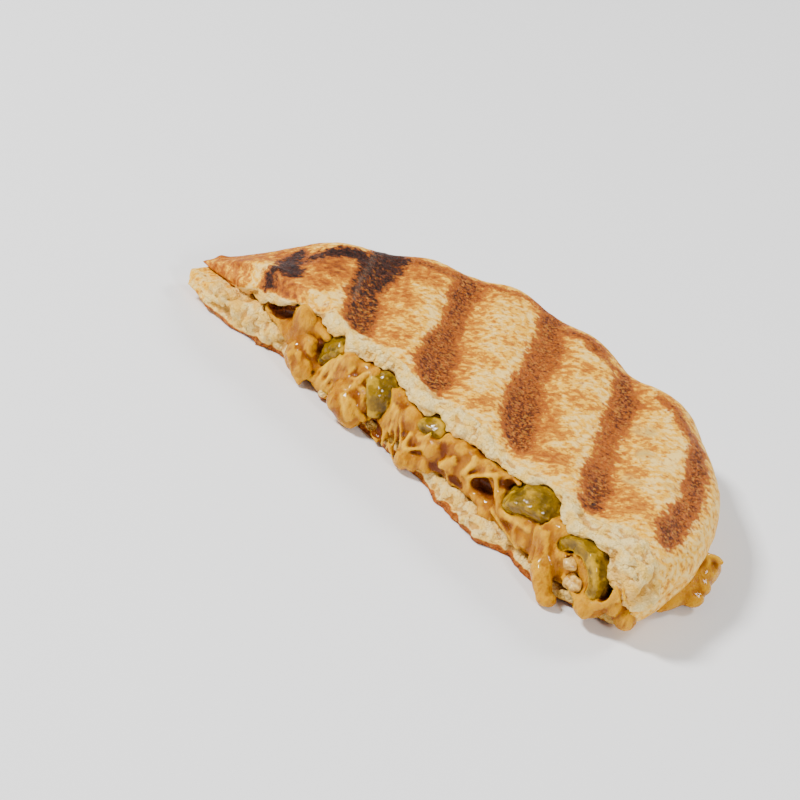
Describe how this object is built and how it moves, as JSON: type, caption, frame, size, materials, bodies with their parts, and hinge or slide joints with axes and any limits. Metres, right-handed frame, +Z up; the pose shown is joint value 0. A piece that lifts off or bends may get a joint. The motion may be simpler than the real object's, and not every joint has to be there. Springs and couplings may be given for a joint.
{
  "type": "grilled cheese sandwich half",
  "caption": "Torn half of a round pressed and grilled cheese bun, with grill marks, melted cheese and green pepper showing along the torn face.",
  "frame": {"origin": "centre of the half's box in plan, on the surface it rests on", "axes": "+X along the torn face with the pulled-out tail at -X, +Y from the torn face to the round rim, +Z up through the pressed thickness"},
  "size_m": [0.1255, 0.0651, 0.017],
  "materials": {
    "toasted_bread_top": "dry ivory crust with golden toasting and dark speckled grill marks",
    "toasted_bread_bottom": "dry toasted crust with pale torn crumb at the cut",
    "melted_cheese": "glossy melted golden cheese",
    "green_pepper": "wet olive green pepper flesh",
    "pepper_pith": "wet cream pepper core"
  },
  "bodies": {
    "root": {"bread_top": "toasted_bread_top", "bread_bottom": "toasted_bread_bottom", "cheese_filling": "melted_cheese", "pepper_ring": "green_pepper", "pepper_chunk": "green_pepper", "pepper_bit": "green_pepper", "pepper_middle": "green_pepper", "pepper_left": "green_pepper", "pepper_pith_large": "pepper_pith", "pepper_pith_small": "pepper_pith"}
  },
  "joints": []
}
